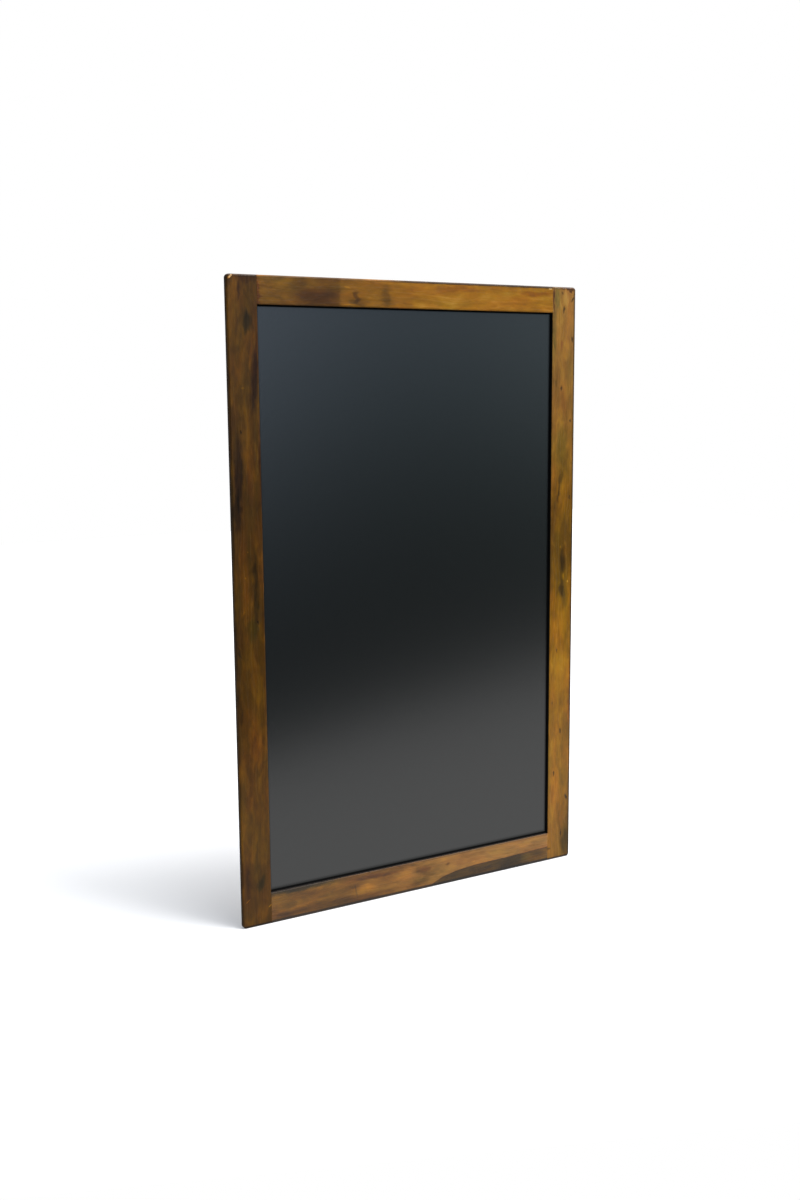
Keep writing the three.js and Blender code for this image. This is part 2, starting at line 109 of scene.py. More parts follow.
class Graph:
    """Adds shader nodes to a material or world, and wires each up in one line."""

    SOCKETS = {"gloss": "Specular IOR Level", "ior": "IOR", "metallic": "Metallic"}

    def __init__(self, owner):
        self.owner = owner
        owner.use_nodes = True
        self.tree = owner.node_tree
        self.tree.nodes.clear()

    def add(self, kind, inputs=None, **settings):
        node = self.tree.nodes.new("ShaderNode" + kind)
        for key, value in settings.items():
            setattr(node, key, value)
        for key, value in (inputs or {}).items():
            self.put(node.inputs[key], value)
        return node

    def put(self, socket, value):
        """value is a number, a socket or a node, whose first output is then meant."""
        if isinstance(value, bpy.types.Node):
            value = value.outputs[0]
        if isinstance(value, bpy.types.NodeSocket):
            self.tree.links.new(value, socket)
        else:
            socket.default_value = value

    def math(self, operation, *values):
        node = self.add("Math", operation=operation)
        for socket, value in zip(node.inputs, values):
            self.put(socket, value)
        return node.outputs[0]

    def chain(self, operation, values):
        result = values[0]
        for value in values[1:]:
            result = self.math(operation, result, value)
        return result

    def total(self, *values):
        return self.chain("ADD", values)

    def times(self, *values):
        return self.chain("MULTIPLY", values)

    def greatest(self, *values):
        return self.chain("MAXIMUM", values)

    def swing(self, value, amount):
        """A noise value's departure from the middle, times amount."""
        return self.times(self.math("SUBTRACT", value, 0.5), amount)

    def step(self, value, low, high, start=0.0, end=1.0):
        """Runs smoothly from start to end as value goes from low to high."""
        inputs = {"Value": value, "From Min": low, "From Max": high, "To Min": start, "To Max": end}
        return self.add("MapRange", inputs, interpolation_type="SMOOTHSTEP").outputs[0]

    def mix(self, factor, a, b, blend="MIX"):
        node = self.add("Mix", data_type="RGBA", blend_type=blend)
        self.put(node.inputs[0], factor)
        self.put(node.inputs[6], a)
        self.put(node.inputs[7], b)
        return node.outputs[2]

    def ramp(self, value, stops, kind="LINEAR"):
        node = self.add("ValToRGB", {"Fac": value})
        ramp = node.color_ramp
        ramp.interpolation = kind
        while len(ramp.elements) < len(stops):
            ramp.elements.new(1.0)
        for element, (place, colour) in zip(ramp.elements, stops):
            element.position = place
            element.color = colour
        return node.outputs[0]

    def curve(self, value, length, stops, kind="LINEAR"):
        """A number that follows stops, given as (place, number) pairs over the length."""
        low = min(number for place, number in stops)
        span = max(number for place, number in stops) - low
        shades = [(place / length, grey((number - low) / span)) for place, number in stops]
        colour = self.ramp(self.math("DIVIDE", value, length), shades, kind)
        share = self.add("SeparateColor", {0: colour}).outputs[0]
        return self.math("MULTIPLY_ADD", share, span, low)

    def vector(self, operation, a, b):
        return self.add("VectorMath", {0: a, 1: b}, operation=operation).outputs[0]

    def dot(self, a, b):
        return self.add("VectorMath", {0: a, 1: b}, operation="DOT_PRODUCT").outputs["Value"]

    def size(self, a):
        return self.add("VectorMath", {0: a}, operation="LENGTH").outputs["Value"]

    def noise(self, place, scale, detail=3.0, roughness=0.5, distortion=0.0):
        """Noise from 0 to 1. scale is its lumps to a unit of place, or one such number for each axis."""
        if isinstance(scale, tuple):
            place, scale = self.vector("MULTIPLY", place, scale), 1.0
        names = ("Vector", "Scale", "Detail", "Roughness", "Distortion")
        inputs = dict(zip(names, (place, scale, detail, roughness, distortion)))
        return self.add("TexNoise", inputs).outputs["Fac"]

    def mottled(self, value, *colours):
        """Three colours on a scale of 255, for where a noise value is low, middling and high."""
        return self.ramp(value, [(at, linear(*rgb)) for at, rgb in zip((0.3, 0.5, 0.7), colours)])

    def place(self):
        """The object's own coordinates, in metres."""
        return self.add("TexCoord").outputs["Object"]

    def surface(self, colour, roughness, relief, strength, height, **more):
        """Ends the material in a Principled shader and returns it. height is in millimetres."""
        bump = self.add("Bump", {"Height": relief, "Strength": strength, "Distance": height * MM})
        inputs = {"Base Color": colour, "Roughness": roughness, "Normal": bump}
        inputs.update({self.SOCKETS[key]: value for key, value in more.items()})
        return self.finish(self.add("BsdfPrincipled", inputs))

    def finish(self, shader):
        self.add("OutputMaterial", {"Surface": shader})
        return self.owner


def material_graph(name):
    return Graph(bpy.data.materials.new(name))


def paint(obj, material):
    obj.data.materials.clear()
    obj.data.materials.append(material)


def add_object(name, data):
    obj = bpy.data.objects.new(name, data)
    bpy.context.scene.collection.objects.link(obj)
    return obj


def tidy_mesh(mesh, sharp=SHARP):
    """Merges points that coincide, turns the faces outward and shades smooth, with sharp edges by angle."""
    same_point, no_length = 0.004 * MM, 0.001 * MM
    work = bmesh.new()
    work.from_mesh(mesh)
    bmesh.ops.remove_doubles(work, verts=work.verts, dist=same_point)
    bmesh.ops.dissolve_degenerate(work, edges=work.edges, dist=no_length)
    bmesh.ops.recalc_face_normals(work, faces=work.faces)
    limit = math.radians(sharp)
    for face in work.faces:
        face.smooth = True
    for edge in work.edges:
        edge.smooth = len(edge.link_faces) == 2 and edge.calc_face_angle(0.0) < limit
    work.to_mesh(mesh)
    work.free()


def loft(name, rings, closed=False):
    """A mesh through rings of points, capped at both ends or closed round on itself."""
    count = len(rings[0])
    points = [tuple(point) for ring in rings for point in ring]
    faces = []
    for ring in range(len(rings) if closed else len(rings) - 1):
        here, there = ring * count, ((ring + 1) % len(rings)) * count
        for k in range(count):
            after = (k + 1) % count
            faces.append((here + k, here + after, there + after, there + k))
    if not closed:
        faces.append(tuple(range(count)))
        faces.append(tuple(range(len(points) - count, len(points))))
    mesh = bpy.data.meshes.new(name)
    mesh.from_pydata(points, [], faces)
    return mesh


# Woodwork. STEPS: the parts that each stretch of a cross-section is cut into. END_STATIONS: the places of the
# cross-sections near a member's ends, in millimetres from the end.
ARC_STEPS = 6
FACE_STEPS = 16
INNER_ARC_STEPS = 4
SIDE_STEPS = 3
OPENING_STEPS = 3
STATION_STEP = 3 * MM
END_STATIONS = [0.0, 0.1, 0.3, 0.6, 1.0, 1.5, 2.0, 2.5, 3.0, 3.6, 4.3, 5.0, 6.0]

# The front face's waves: how many to a metre along and across, and how deep
WAVES = (35, 120)
WAVE_DEPTH = 0.06 * MM


def arc_angles(start, count):
    return [start + (math.pi / 2 - start) * k / count for k in range(count + 1)]


def between(a, b, count):
    """Points on the way from a to b, without a itself."""
    return [(a[0] + (b[0] - a[0]) * k / count, a[1] + (b[1] - a[1]) * k / count) for k in range(1, count + 1)]


def section(width, end, round_end, inner_radius, rebated):
    """The member's cross-section, as (across, depth) points from its outer side round by the front.

    end is the distance to the member's nearer end. A stile's end has rounded edges and corner.
    """
    end_radius = ARRIS if round_end else JOINT_ARRIS
    lift = end_radius - math.sqrt(end_radius**2 - (end_radius - end) ** 2) if end < end_radius else 0.0
    back = DEPTH - lift if round_end else DEPTH
    start = math.asin(1 - end / ARRIS) if round_end and end < ARRIS else 0.0
    front_arc = []
    for angle in arc_angles(start, ARC_STEPS):
        inset = ARRIS * (1 - math.sin(angle))
        depth = max(ARRIS * (1 - math.cos(angle)), lift)
        across = inset
        if round_end and end < CORNER:
            across = CORNER - math.sqrt(max((CORNER - inset) ** 2 - (CORNER - end) ** 2, 0.0))
        front_arc.append((across, depth))
    inner_arc = [
        (width - inner_radius * (1 - math.sin(angle)), lift + inner_radius * (1 - math.cos(angle)))
        for angle in arc_angles(0.0, INNER_ARC_STEPS)
    ]
    face_end = (width - inner_radius, lift)
    wall = width - REBATE
    lip_edge = (width, LIP)
    turn = (wall, LIP) if rebated else (width, back)
    inside = between(lip_edge, turn, SIDE_STEPS) + between(turn, (wall, back), SIDE_STEPS)
    back_arc = [(across, DEPTH - depth) for across, depth in front_arc]
    return (
        front_arc[::-1]
        + between(front_arc[0], face_end, FACE_STEPS)
        + inner_arc[1:]
        + between(inner_arc[-1], lip_edge, SIDE_STEPS)
        + inside
        + between((wall, back), back_arc[0], FACE_STEPS)
        + back_arc[1:]
        + between(back_arc[-1], front_arc[-1], SIDE_STEPS)[:-1]
    )


def uneven(point, along, seed):
    """The front face is planed by hand, so it waves by about a tenth of a millimetre."""
    across, depth = point
    wave = noise.noise(Vector((along * WAVES[0], across * WAVES[1], seed)))
    return across, depth + WAVE_DEPTH * (1 + wave)


def member_rings(width, length, round_end, rebate_span, opening_span, seed):
    """Rings of (along, across, depth) points from one end of a member to the other."""
    ends = [distance * MM for distance in END_STATIONS]
    places = set(ends) | {length - distance for distance in ends}
    places |= set(np.arange(ends[-1], length - ends[-1], STATION_STEP))
    for edge in opening_span:
        steps = range(-OPENING_STEPS, OPENING_STEPS + 1)
        places |= {edge + step * OPENING_ARRIS / OPENING_STEPS for step in steps}
    stations = [(place, rebate_span[0] < place < rebate_span[1]) for place in places if 0 <= place <= length]

    # The rebate starts and ends square, with a plain and a rebated ring at one place
    stations += [(edge, rebated) for edge in rebate_span for rebated in (False, True) if 0 < edge < length]
    stations.sort(key=lambda item: (item[0], item[1] if item[0] == rebate_span[0] else not item[1]))
    rings = []
    for place, rebated in stations:
        inside = min(place - opening_span[0], opening_span[1] - place)
        share = min(max(inside / OPENING_ARRIS + 1, 0.0), 1.0)
        inner_radius = JOINT_ARRIS + (OPENING_ARRIS - JOINT_ARRIS) * share
        outline = section(width, min(place, length - place), round_end, inner_radius, rebated)
        front = range(ARC_STEPS, ARC_STEPS + FACE_STEPS + 1)
        outline = [uneven(point, place, seed) if k in front else point for k, point in enumerate(outline)]
        rings.append([(place, across, depth) for across, depth in outline])
    return rings


def add_member(name, rings, origin, along_axis, inward_axis):
    """A frame member. Its grain attribute holds along, across and depth in millimetres."""
    axes = np.array([along_axis, inward_axis, (0.0, 1.0, 0.0)])
    local = np.array(rings).reshape(-1, 3)
    points = (np.array(origin) + local @ axes).reshape(len(rings), -1, 3)
    mesh = loft(name, points.tolist())
    grain = mesh.attributes.new("grain", "FLOAT_VECTOR", "POINT")
    grain.data.foreach_set("vector", (local / MM).astype(np.float32).ravel())
    tidy_mesh(mesh)
    return add_object(name, mesh)


# The stain, from where it gathers to where it is worn thin
STAIN = [
    (0.00, linear(22, 14, 5)),
    (0.20, linear(47, 30, 9)),
    (0.38, linear(75, 49, 12)),
    (0.52, linear(102, 67, 13)),
    (0.66, linear(133, 87, 13)),
    (0.80, linear(164, 109, 18)),
    (0.90, linear(188, 136, 50)),
    (1.00, linear(234, 194, 132)),
]

# What the stain fades to where it was washed off
WASHED = linear(150, 118, 88)

# What the stain's colour is multiplied by, from olive to reddish
HUES = [(0.0, (0.78, 1.08, 0.95, 1)), (0.5, (1, 1, 1, 1)), (1.0, (1.16, 0.80, 0.95, 1))]

# Zones of a member's surface, in millimetres from its outer edge, inner edge (below 0), end or front
OUTER_EDGE = (0.3, 2.6)
INNER_EDGE = (-1.3, -0.5)
INNER_RIM = (-3.0, -1.2)
END_RIM = (2.6, 4.8)
BACK_DEPTH = (DEPTH / MM - 1.4, DEPTH / MM - 0.8)
SIDE_DEPTH = (1.0, 2.4)
FLANK_DEPTH = (3.0, 5.5)
THIN_DEPTH = (0.2, 0.8)
LIP_DEPTH = (0.4, 1.0)

# Noise in the wood: its lumps to a millimetre along, across and deep, then detail, roughness and distortion
TEXTURES = {
    "clouds": ((0.018, 0.062, 0.05), 2.5, 0.5, 0.6),
    "mottle": ((0.07, 0.15, 0.12), 2.5, 0.5, 0.5),
    "streaks": ((0.012, 0.30, 0.25), 3.0, 0.6),
    "fine": ((0.05, 1.3, 1.0), 3.0, 0.6),
    "pores": ((0.09, 2.4, 1.2), 1.0),
}
TINT = ((0.016, 0.055, 0.05), 3.0, 0.6)
DRIFT = ((0.009, 0.03, 0.03), 1.0)

# How much each texture changes the tone, and how far the drift bends the grain
TEXTURE_TONES = {"clouds": 0.50, "mottle": 0.26, "streaks": 0.08, "fine": 0.06}
GRAIN_BEND = 16.0

# How far apart the members, and a member's front and back, lie in the noise
MEMBER_SHIFT = (371.0, 97.0, 53.0)
BACK_SHIFT = (430, 170, 0)

# Torn outlines: lumps to a millimetre, and how far they push
STAIN_TEAR = ((0.06, 0.18, 0.1), (18, 8, 0))
DENT_TEAR = ((0.30, 0.75, 0.5), (9, 4, 0))

# Strengths, changes of tone, hue and relief, and the stretches of tone over which things come in
DENT_TONE, DENT_RELIEF = -0.38, -1.5
SHADE_EDGE, SHADE_RIM = (-0.9, 0.5), (-2.2, -0.6)
SHADE_HUE, SHADE_RIM_HUE, SHADE_RIM_TONE = -0.35, 0.8, 0.3
RUBBED_TONE = 0.16
LIGHTEST_TONE = 0.87
TINT_HUE = 1.7
WASHED_TONES = (0.45, 0.70)
PORE_STRENGTH = 0.20
END_STRENGTH = 0.8
EDGE_DULLNESS = 0.4

# The end grain: how its rings wobble in millimetres, how many there are to one, and where their heart lies
RING_WOBBLE = 5.0
RINGS = 0.42
HEART = (18.0, -22.0)
EARLY_WOOD, LATE_WOOD, END_PORES = linear(92, 60, 24), linear(48, 28, 10), linear(38, 22, 9)


class Wood(Graph):
    """The stained softwood of one member. look holds the tones along it and the marks on its front face."""

    def __init__(self, material, width, length, look, seed):
        super().__init__(material)
        self.width, self.length, self.look, self.seed = width, length, look, seed
        self.grain = self.add("Attribute", attribute_name="grain").outputs["Vector"]
        self.along, self.across, self.depth = self.add("SeparateXYZ", {0: self.grain}).outputs
        back = self.step(self.depth, *BACK_DEPTH)
        self.front = self.math("SUBTRACT", 1.0, back)
        self.inner = self.step(self.across, *[width + place for place in INNER_EDGE])
        self.edge = self.step(self.across, *OUTER_EDGE, 1.0, 0.0)
        on_back = self.add("CombineXYZ", {0: back, 1: back})
        moved = self.vector("ADD", self.grain, tuple(seed * shift for shift in MEMBER_SHIFT))
        self.shifted = self.vector("ADD", moved, self.vector("MULTIPLY", on_back, BACK_SHIFT))
        bend = self.swing(self.noise(self.shifted, *DRIFT), GRAIN_BEND)
        lines = self.vector("ADD", self.shifted, self.add("CombineXYZ", {1: bend}))
        self.textures = {name: self.noise(lines, *values) for name, values in TEXTURES.items()}

    def follow(self, key, kind="LINEAR"):
        return self.curve(self.along, self.length, self.look[key], kind)


def torn(g, scale, reach):
    """The member's coordinates, pushed about so that what is drawn in them gets a torn outline."""
    lumps = g.add("TexNoise", {"Vector": g.vector("MULTIPLY", g.shifted, scale), "Scale": 1.0})
    push = g.vector("SUBTRACT", lumps.outputs["Color"], (0.5, 0.5, 0.5))
    return g.vector("ADD", g.grain, g.vector("MULTIPLY", push, reach))


def oval(g, place, along, across, half_long, half_wide, lean=0, soft=1.0):
    """1 inside an oval and 0 outside it, in millimetres. lean is in degrees, soft from 0 to 1."""
    inputs = {"Vector": place, "Location": (along, across, 0), "Scale": (half_long, half_wide, 1000)}
    inputs["Rotation"] = (0, 0, math.radians(lean))
    spread = g.add("Mapping", inputs, vector_type="TEXTURE")
    return g.step(g.size(spread), 1 - 0.65 * soft, 1 + 0.3 * soft, 1.0, 0.0)


def draw_marks(g):
    """What the marks on the front face add to the tone, the hue and the relief, and the strokes' tones."""
    stain_place, dent_place = torn(g, *STAIN_TEAR), torn(g, *DENT_TEAR)
    tones, hues, relief = [], [], []
    for *shape, tone, hue, lean in [(*stain, 0, 0)[:7] for stain in g.look["stains"]]:
        mark = oval(g, stain_place, *shape, lean)
        tones.append(g.times(mark, tone))
        hues.append(g.times(mark, hue))
    for shape in g.look["dents"]:
        mark = oval(g, dent_place, *shape)
        tones.append(g.times(mark, DENT_TONE))
        relief.append(g.times(mark, DENT_RELIEF))
    if "shade" in g.look:
        past = g.math("SUBTRACT", g.across, g.follow("shade"))
        inside = g.step(past, *SHADE_EDGE, 1.0, 0.0)
        rim = g.times(inside, g.step(past, *SHADE_RIM))
        fade = g.follow("shade_tone")
        tones += [g.times(inside, fade), g.times(rim, fade, SHADE_RIM_TONE)]
        hues += [g.times(inside, SHADE_HUE), g.times(rim, SHADE_RIM_HUE)]
    strokes = [g.times(oval(g, g.grain, *shape, soft=0.7), tone) for *shape, tone in g.look["strokes"]]
    return tones, hues, relief, strokes


def worn_tones(g):
    """Stain rubbed off the outer arris in places and thin along the inner one."""
    outer = g.times(g.edge, g.step(g.depth, *SIDE_DEPTH, 1.0, 0.0))
    rubbed = g.times(outer, g.step(g.textures["clouds"], 0.45, 0.66))
    thin = g.times(g.inner, g.step(g.depth, *THIN_DEPTH, 1.0, 0.0))
    return [g.times(rubbed, RUBBED_TONE), g.times(thin, g.look["inner_edge"])]


def painted_shade_rims(g):
    """How strong the painted shade is: a dark line along the outer edge, the ends and the inner edge."""
    reach, ends, inner_rim = [g.look[key] for key in ("rim_reach", "ends", "inner_rim")]
    to_end = g.math("SUBTRACT", g.length, g.along)
    inner = g.step(g.across, *[g.width + place for place in INNER_RIM], 0.0, inner_rim)
    return g.greatest(
        g.times(g.step(g.across, *reach, 1.0, 0.0), g.follow("rim")),
        g.step(g.along, *END_RIM, ends[0], 0.0),
        g.step(to_end, *END_RIM, ends[1], 0.0),
        g.times(inner, g.front),
    )


def end_grain(g):
    """Growth rings about a heart that lies outside the member, darkened by the stain they drank."""
    place = g.add("CombineXYZ", {0: g.across, 1: g.depth})
    wobble = g.swing(g.noise(place, 0.12, 2.0), RING_WOBBLE)
    from_heart = g.vector("SUBTRACT", place, (HEART[0] + 6 * g.seed, HEART[1], 0.0))
    rings = g.times(g.total(g.size(from_heart), wobble), RINGS)
    colour = g.mix(g.step(g.math("FRACT", rings), 0.45, 0.95), EARLY_WOOD, LATE_WOOD)
    return g.mix(g.step(g.noise(place, 2.4, 2.0), 0.4, 0.7, 0.0, 0.5), colour, END_PORES)


def stain_colour(g, tones, hues, strokes):
    scuffs = g.times(g.front, g.step(g.textures["mottle"], 0.25, 0.55, 0.55, 1.0))
    tones = [g.times(g.front, g.total(*tones)), g.follow("tones", "EASE"), *worn_tones(g)]
    for name, amount in TEXTURE_TONES.items():
        tones.append(g.swing(g.textures[name], amount * g.look["patchy"]))
    tone = g.math("MINIMUM", g.total(*tones), LIGHTEST_TONE)
    tone = g.total(tone, g.times(scuffs, g.total(*strokes)))
    hue = g.times(g.front, g.total(*hues))
    hue = g.total(hue, g.swing(g.noise(g.shifted, *TINT), TINT_HUE))
    hue = g.total(g.times(hue, 0.5), 0.5 + g.look["hue"])
    washed = g.times(g.follow("washed"), g.step(tone, *WASHED_TONES))
    colour = g.mix(washed, g.ramp(tone, STAIN), WASHED)
    return g.mix(1.0, colour, g.ramp(hue, HUES), "MULTIPLY")


def wood_material(name, width, length, along_axis, look, seed):
    g = Wood(bpy.data.materials.new(name), width, length, look, seed)
    tones, hues, relief, strokes = draw_marks(g)
    colour = stain_colour(g, tones, hues, strokes)
    pores = g.step(g.textures["pores"], 0.60, 0.70)
    lip = g.times(g.inner, g.step(g.depth, *LIP_DEPTH), g.front)
    # Painted shade: the outer side is darkened, most on the left stile, which faces away from the light.
    flank = g.times(g.edge, g.step(g.depth, *FLANK_DEPTH), look["flank"])
    facing = g.dot(g.add("TexCoord").outputs["Normal"], along_axis)
    end = g.step(g.math("ABSOLUTE", facing), 0.6, 0.85)
    colour = g.mix(g.times(pores, PORE_STRENGTH), colour, linear(28, 17, 8))
    colour = g.mix(lip, colour, linear(16, 10, 6))
    colour = g.mix(flank, colour, linear(34, 18, 6))
    # Painted shade: a dark line along the outer edge, the ends and the inner edge.
    colour = g.mix(painted_shade_rims(g), colour, linear(24, 15, 7))
    colour = g.mix(g.times(end, END_STRENGTH), colour, end_grain(g))
    relief = g.math("SUBTRACT", g.total(g.swing(g.textures["fine"], 0.5), *relief), pores)
    dull = g.times(g.greatest(end, g.edge, g.inner), EDGE_DULLNESS)
    rough = g.total(g.step(g.textures["streaks"], 0.3, 0.7, 0.22, 0.30), dull)
    return g.surface(colour, rough, relief, strength=0.35, height=0.25, gloss=look["gloss"])


# What each member's front face looks like, in millimetres from its lower or left end and its outer edge.
# stains: along, across, half length, half width, change of tone, change of hue (reddish above 0) and lean in
# degrees, with zeros at the end left out. dents: the first four and the lean. strokes: these and the tone's
# change. tones, washed, rim, shade and shade_tone: how strong or how wide at each place along. The tones rise
# towards the board's right, along the rails and from the left stile to the right one: partly the stain's own
# change and partly painted light, lighter where the light falls. rim, rim_reach, inner_rim, ends and the
# flank strength set the painted shade along the edges and on the outer side.
LOOKS = {}
LOOKS["left_stile"] = {
    "tones": [(0, 0.36), (150, 0.38), (300, 0.4), (480, 0.36), (600, 0.36), (700, 0.41), (895, 0.42)],
    "stains": [
        (835, 28, 13, 6, -0.2, -0.7), (822, 26, 6, 2.5, -0.1, -0.3), (752, 36, 36, 5.5, -0.22, 0.5, 4),
        (795, 40, 28, 3, -0.14, 0.4, 6), (790, 32, 30, 2.4, 0.08, 0.3, 8), (640, 10, 62, 6.5, -0.2, 0.1),
        (650, 28, 60, 8, 0.07, 0.4), (650, 42, 60, 2.5, -0.12, 0.6), (890, 30, 7, 20, -0.1, 0.4),
        (875, 17, 12, 2, -0.14, 0.3), (480, 31, 54, 4.5, -0.2, -0.4), (425, 25, 18, 8, -0.07, -0.8),
        (505, 15, 65, 7, 0.07, 0.5), (585, 7, 30, 6, -0.18), (335, 28, 48, 9, 0.06, 0.1, 3),
        (62, 29, 13, 6, -0.14, -0.9, 10), (70, 9, 32, 5, -0.08, 0.2), (16, 30, 12, 12, 0.05, 0.2),
        (228, 33, 14, 3.5, -0.08, 0, 35), (262, 25, 36, 11, 0.07, 0.4, 5), (345, 4, 60, 3.5, -0.14),
        (653, 30, 16, 7, -0.11), (798, 31, 16, 7, -0.08), (33, 16, 14, 7, -0.06),
    ],
    "strokes": [
        (891.5, 5, 5, 1.6, 50, 0.62), (39.5, 7, 5.8, 0.55, 54, 0.3), (27, 41, 3.6, 0.9, 54, 0.3),
        (495, 16, 1.6, 1.1, 0, 0.2), (530, 20.5, 1.4, 1, 0, 0.14), (748, 19, 1.6, 3, 0, 0.12),
        (447, 12, 4, 0.6, 30, 0.14), (390, 5, 6, 1, -35, -0.12), (401, 4.5, 5, 0.9, -35, 0.1),
        (440, 43.5, 6, 0.8, 0, 0.16), (480, 42.5, 8, 0.9, 0, 0.14),
    ],
    "dents": [(690, 15, 3, 1, 20), (433, 33, 2, 1.4)],
    "patchy": 0.8, "hue": 0.06, "washed": [(0, 0.02), (895, 0)], "gloss": 0.16, "inner_edge": 0.02,
    "flank": 0.85, "rim": [(0, 0), (895, 0.05)], "rim_reach": (1.3, 4.2), "inner_rim": 0, "ends": (0.85, 0.4),
}
LOOKS["right_stile"] = {
    "tones": [
        (0, 0.6), (40, 0.68), (180, 0.71), (300, 0.7), (400, 0.67), (480, 0.56), (540, 0.56), (620, 0.64),
        (740, 0.69), (895, 0.77),
    ],
    "stains": [
        (878, 34, 18, 6, -0.1, -0.6), (830, 39, 42, 4, -0.12, -0.6), (150, 11, 150, 12, -0.08),
        (876, 41, 20, 1.6, -0.3, 1), (893, 12, 4, 14, -0.3, 0.5), (874, 19, 18, 6, 0.1),
        (880, 19, 10, 3, 0.06), (811, 25, 10, 1.5, -0.08, 0.6, -10), (608, 25, 15, 5, -0.16),
        (436, 21, 14, 5, -0.28), (483, 19, 21, 6, -0.2), (480, 20, 64, 14, -0.08, -0.2),
        (588, 28.5, 16, 2.5, -0.22, 0, -6), (640, 24, 60, 14, -0.04, -0.5), (345, 24, 60, 16, 0.04, -0.1),
        (24, 9, 27, 10, -0.2, -0.4), (257, 4, 46, 3, -0.16, 0.8), (130, 30, 60, 10, 0.03, 0.4),
        (576, 35, 22, 7, -0.12), (497, 17, 16, 6, 0.11), (181, 38, 18, 7, 0.1), (802, 16, 18, 7, 0.11, -0.15),
        (876, 15, 10, 5, 0.06), (419, 18, 18, 7, -0.09), (342, 36, 20, 7, -0.09), (72, 36, 20, 6, 0.03, -0.2),
        (259, 18, 18, 7, -0.07), (652, 36, 18, 7, 0.07), (421, 37, 16, 7, 0.06), (75, 3, 60, 5, -0.12),
    ],
    "strokes": [
        (448, 9.7, 2, 1.4, 0, 0.24), (456, 18, 7, 1, 0, 0.22), (503, 24, 2, 1.2, 0, 0.2),
        (886, 25, 3, 2, 30, -0.2), (19, 41, 2, 4, 0, -0.24),
    ],
    "dents": [
        (877, 5.7, 4.5, 1.6, -35), (862, 22, 5, 1.9, -10), (818, 5.7, 4.5, 1.9), (745, 26, 4.5, 1.9, -10),
        (696, 8.3, 3.5, 1.5), (579, 8, 3, 1.2), (340, 29, 4, 1), (42, 17.7, 7, 1.5), (100, 8, 4.5, 2.2, 20),
        (142, 32.7, 5, 1.6), (210, 20.7, 3.5, 1.7), (257, 37, 3, 1),
    ],
    "patchy": 0.85, "hue": -0.05,
    "washed": [(0, 0.08), (120, 0.04), (260, 0), (580, 0), (700, 0.1), (895, 0.18)], "gloss": 0.26,
    "inner_edge": 0.12, "flank": 0.35, "rim": [(0, 0.8), (400, 0.85), (895, 0.78)], "rim_reach": (2.3, 4.8),
    "inner_rim": 0.1, "ends": (0.85, 0.45),
}
LOOKS["top_rail"] = {
    "tones": [
        (0, 0.58), (40, 0.56), (70, 0.5), (120, 0.49), (127, 0.61), (180, 0.64), (245, 0.75), (484, 0.79),
    ],
    "stains": [
        (0, 20, 4, 26, -0.14, 1), (90, 27, 35, 13, -0.12, 0.4), (149, 25, 5.5, 10, -0.18, 0.1),
        (196, 22, 9, 14, -0.14), (315, 9, 42, 5, -0.12, 0.3), (453, 11.5, 27, 4, -0.12, 0.6),
        (300, 1.5, 90, 1.6, -0.16, 0.2), (430, 2, 45, 1.8, -0.2, 0.2), (202, 30, 16, 6, -0.11),
        (301, 15, 18, 5, -0.07), (154, 31, 20, 6, -0.1), (451, 34, 14, 5, -0.06), (63, 11, 14, 6, -0.07),
        (19, 13, 12, 6, -0.06), (301, 32, 16, 5, 0.07), (251, 15, 14, 7, 0.06), (251, 32, 14, 6, 0.05, -0.1),
        (406, 14, 16, 6, 0.06, -0.2), (406, 33, 14, 5, 0.05),
    ],
    "strokes": [(479, 3.2, 4, 1.5, 0, 0.26), (138, 35, 12, 1, 0, 0.14), (135, 12, 6, 1.4, 10, 0.12)],
    "dents": [], "patchy": 0.75, "hue": 0.04, "washed": [(0, 0.03), (484, 0)], "gloss": 0.2,
    "inner_edge": 0.02, "flank": 0.45, "rim": [(0, 0.15), (170, 0.15), (230, 0.85), (484, 0.85)],
    "rim_reach": (2, 4), "inner_rim": 0.25, "ends": (0, 0),
}
LOOKS["bottom_rail"] = {
    "tones": [(0, 0.52), (110, 0.53), (150, 0.6), (250, 0.62), (300, 0.66), (484, 0.67)],
    "stains": [
        (38, 43, 66, 4.5, -0.28, -0.7), (172, 37, 44, 3.5, -0.16, 0.6), (158, 26, 20, 9, 0.09),
        (222, 28, 20, 10, 0.08), (255, 31, 12, 5, -0.12, 0.5), (296, 31, 4, 2.2, -0.16, 0.3),
        (110, 9, 120, 6, -0.13, 0.3), (440, 14, 12, 6, 0.06, -0.4), (20, 8, 14, 6, -0.12),
        (245, 12, 16, 6, -0.12), (459, 30, 14, 7, -0.09), (142, 28, 14, 6, -0.09), (299, 12, 14, 5, -0.1),
        (411, 31, 14, 6, -0.05), (459, 14, 14, 6, -0.05), (193, 12, 14, 6, -0.05), (215, 42, 40, 4, -0.12),
    ],
    "strokes": [(136, 20, 1.4, 12, 12, -0.12), (342, 26, 4, 1.4, 0, 0.14), (348, 10, 2, 6, 15, 0.06)],
    "dents": [],
    "shade": [
        (0, -9), (250, -9), (268, 5), (285, 12), (310, 17), (343, 20), (410, 21), (443, 22), (484, 23.5),
    ],
    "shade_tone": [(0, -0.2), (270, -0.22), (320, -0.36), (430, -0.38), (448, -0.24), (484, -0.24)],
    "patchy": 0.9, "hue": 0.05, "washed": [(0, 0.04), (150, 0.06), (300, 0.18), (484, 0.22)], "gloss": 0.42,
    "inner_edge": 0.06, "flank": 0.6, "rim": [(0, 0.9), (484, 0.93)], "rim_reach": (3.6, 5.8),
    "inner_rim": 0.45, "ends": (0, 0),
}


